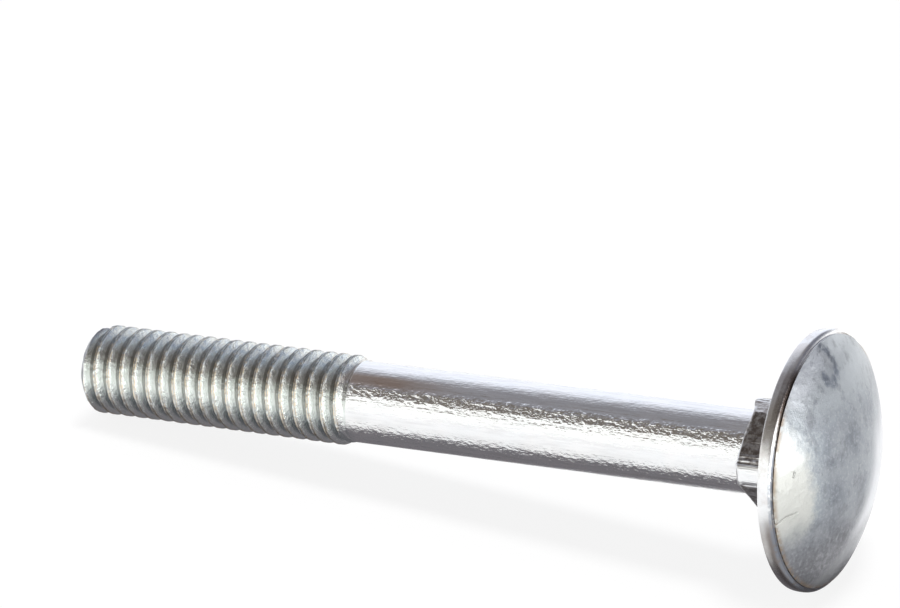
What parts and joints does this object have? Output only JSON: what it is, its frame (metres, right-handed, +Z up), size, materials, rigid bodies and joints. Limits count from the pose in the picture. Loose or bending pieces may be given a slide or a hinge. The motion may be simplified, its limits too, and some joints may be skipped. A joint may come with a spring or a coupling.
{
  "type": "carriage bolt",
  "caption": "Steel carriage bolt with a wide domed head, a square neck, a plain reduced shank and a rolled right-hand thread, bright zinc plated, lying at rest.",
  "frame": {"origin": "under the middle of the bolt's box, on the surface that it rests on", "axes": "+X along the lying bolt towards its head, +Z up; the bolt's own axis is in the XZ plane, about 5.8 degrees above +X, because it lies on its rim and its thread"},
  "size_m": [0.0544, 0.016, 0.0161],
  "materials": {
    "zinc_plate": "bright blue-white zinc plate"
  },
  "bodies": {
    "root": {"bolt": "zinc_plate"}
  },
  "joints": []
}
